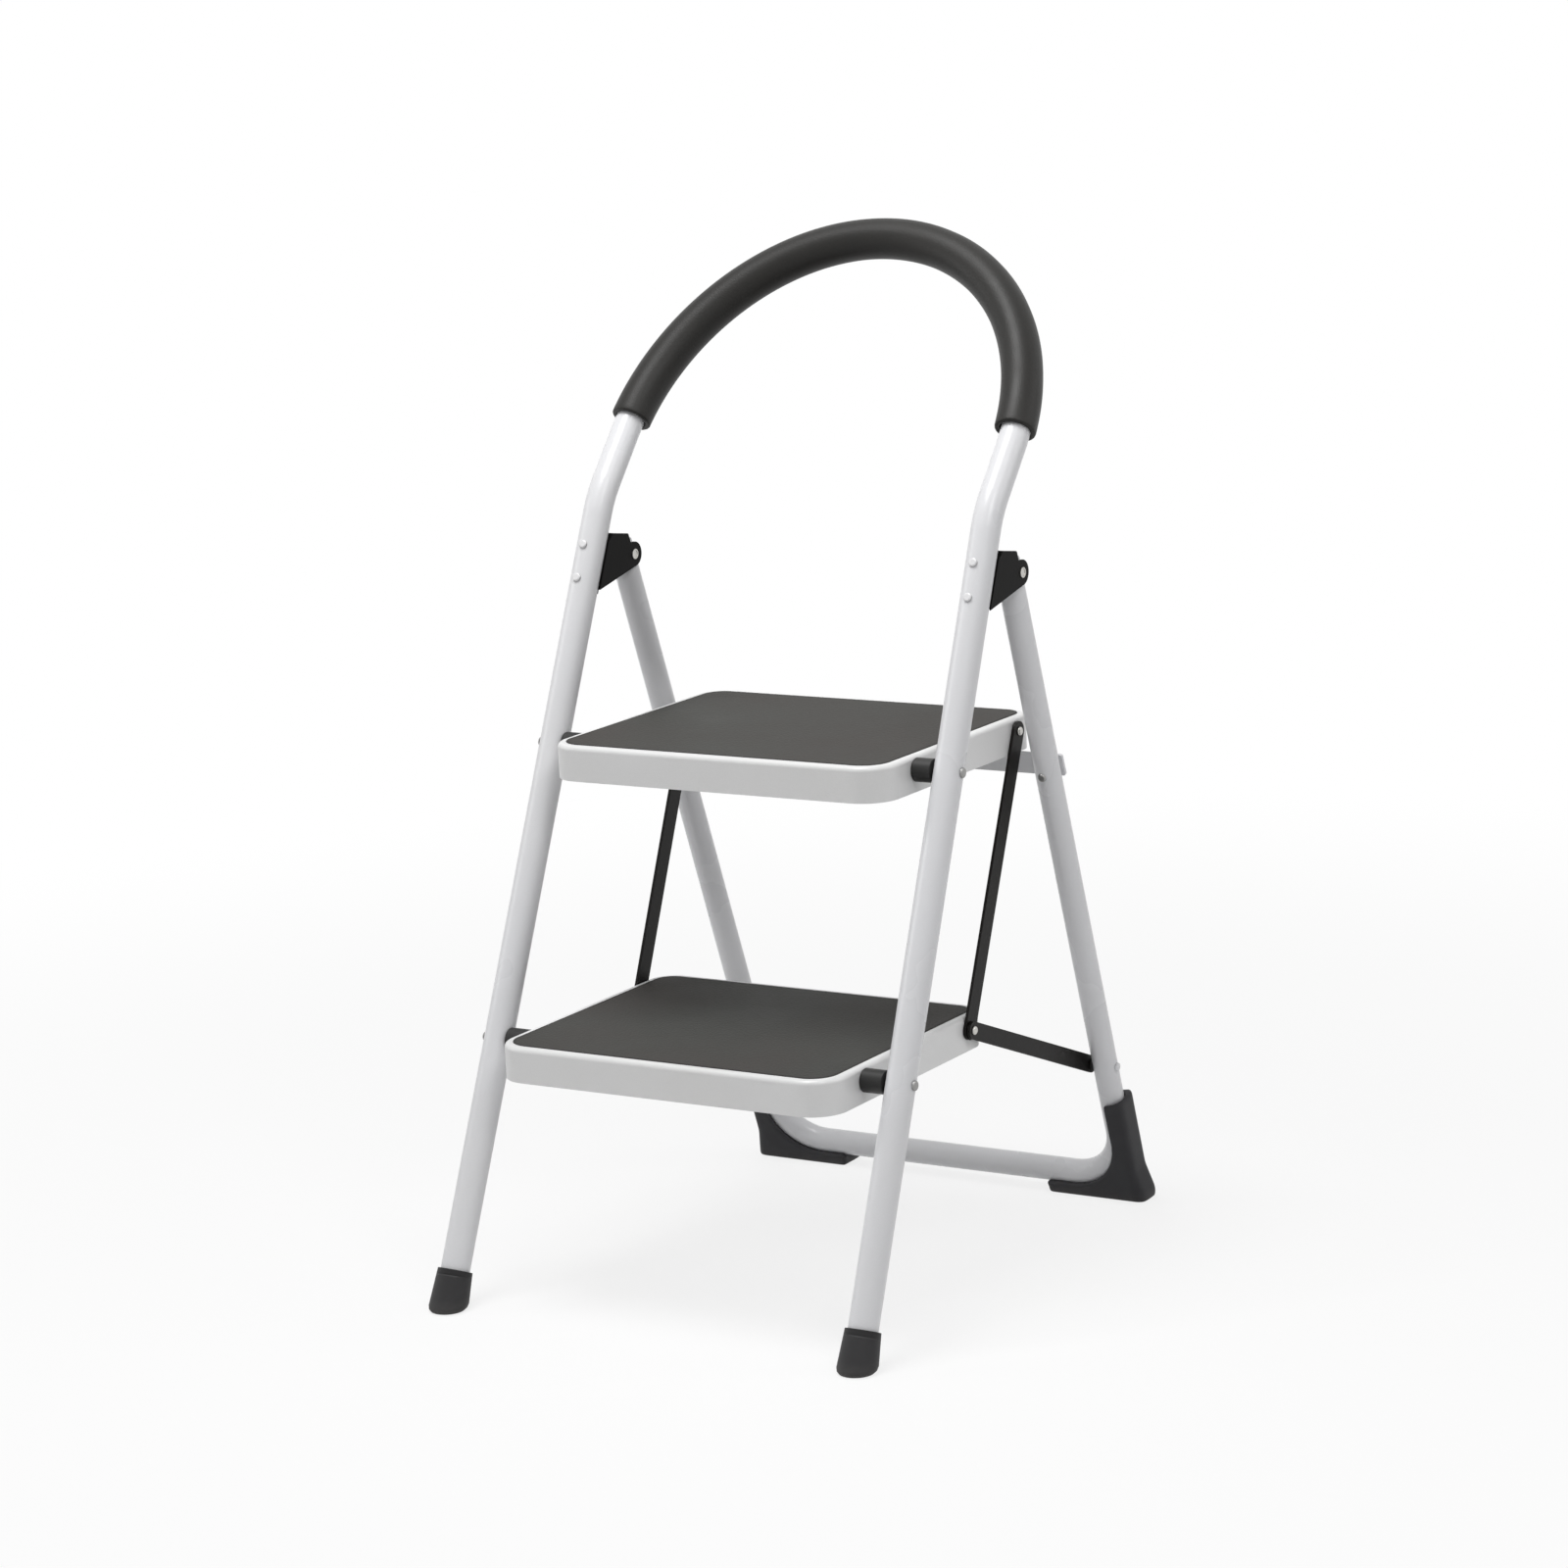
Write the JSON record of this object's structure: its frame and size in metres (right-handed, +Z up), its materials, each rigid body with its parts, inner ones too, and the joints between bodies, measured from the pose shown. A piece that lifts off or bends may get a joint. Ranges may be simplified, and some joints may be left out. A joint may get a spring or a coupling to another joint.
{
  "type": "folding step stool",
  "caption": "Folding step stool with tubular steel frames, wide padded treads, a raised handrail hoop with foam grip, and linked treads that fold flat between the legs.",
  "frame": {"origin": "on the floor, in the middle of the footprint of the open stool", "axes": "+Z up, +Y to the rear, the climbing side faces -Y, +X to the right seen from the front"},
  "size_m": [0.4322, 0.5434, 0.8708],
  "materials": {
    "frame_paint": "semi-gloss powder coat, pale grey white",
    "tread_paint": "semi-gloss powder coat, pale grey white",
    "mat_rubber": "matt, fine anti-slip grain",
    "grip_foam": "matt closed-cell foam",
    "foot_plastic": "matt moulded plastic",
    "bracket_black": "satin black",
    "spacer_black": "satin moulded plastic",
    "bar_black": "satin black",
    "rivet_painted": "painted over with the tube",
    "rivet_steel": "bright zinc"
  },
  "bodies": {
    "front_frame": {"front_frame_tube": "frame_paint", "handrail_grip": "grip_foam", "front_foot_left": "foot_plastic", "front_foot_right": "foot_plastic", "hinge_bracket_left": "bracket_black", "hinge_bracket_right": "bracket_black", "bracket_rivets": "rivet_painted", "hinge_pins": "rivet_steel", "lower_step_pins": "rivet_steel", "top_step_pins": "rivet_steel", "lower_spacer_left": "spacer_black", "lower_spacer_right": "spacer_black", "top_spacer_left": "spacer_black", "top_spacer_right": "spacer_black"},
    "rear_frame": {"rear_frame_tube": "frame_paint", "rear_foot_left": "foot_plastic", "rear_foot_right": "foot_plastic", "rear_crossbar": "frame_paint", "crossbar_rivets": "rivet_painted", "brace_rivet_tails": "rivet_painted"},
    "top_step": {"top_step_tray": "tread_paint", "top_step_mat": "mat_rubber", "top_link_rivets": "rivet_steel"},
    "lower_step": {"lower_step_tray": "tread_paint", "lower_step_mat": "mat_rubber", "lower_link_rivets": "rivet_steel"},
    "links": {"link_bar_left": "bar_black", "link_bar_right": "bar_black"},
    "braces": {"brace_bar_left": "bar_black", "brace_bar_right": "bar_black", "brace_studs": "rivet_steel"}
  },
  "joints": [
    {"name": "rear_fold", "type": "hinge", "parent": "front_frame", "child": "rear_frame", "pos_m": [0, 0.0546, 0.594], "axis": [1, 0, 0], "range_deg": [-42.2, 0]},
    {"name": "top_step_fold", "type": "hinge", "parent": "front_frame", "child": "top_step", "pos_m": [0, -0.06166, 0.4485], "axis": [1, 0, 0], "range_deg": [0, 59.5]},
    {"name": "lower_step_fold", "type": "hinge", "parent": "front_frame", "child": "lower_step", "pos_m": [0, -0.16392, 0.2133], "axis": [1, 0, 0], "range_deg": [0, 59.5]},
    {"name": "link_swing", "type": "hinge", "parent": "top_step", "child": "links", "pos_m": [0, 0.10754, 0.4485], "axis": [1, 0, 0], "range_deg": [-59.5, 0]},
    {"name": "brace_swing", "type": "hinge", "parent": "lower_step", "child": "braces", "pos_m": [0, 0.00527, 0.2133], "axis": [1, 0, 0], "range_deg": [-144.17, 0]}
  ],
  "couplings": [
    {"joint": "top_step_fold", "follows": "rear_fold", "ratio": -1.41},
    {"joint": "lower_step_fold", "follows": "rear_fold", "ratio": -1.41},
    {"joint": "link_swing", "follows": "rear_fold", "ratio": 1.41},
    {"joint": "brace_swing", "follows": "rear_fold", "ratio": 3.4163}
  ]
}
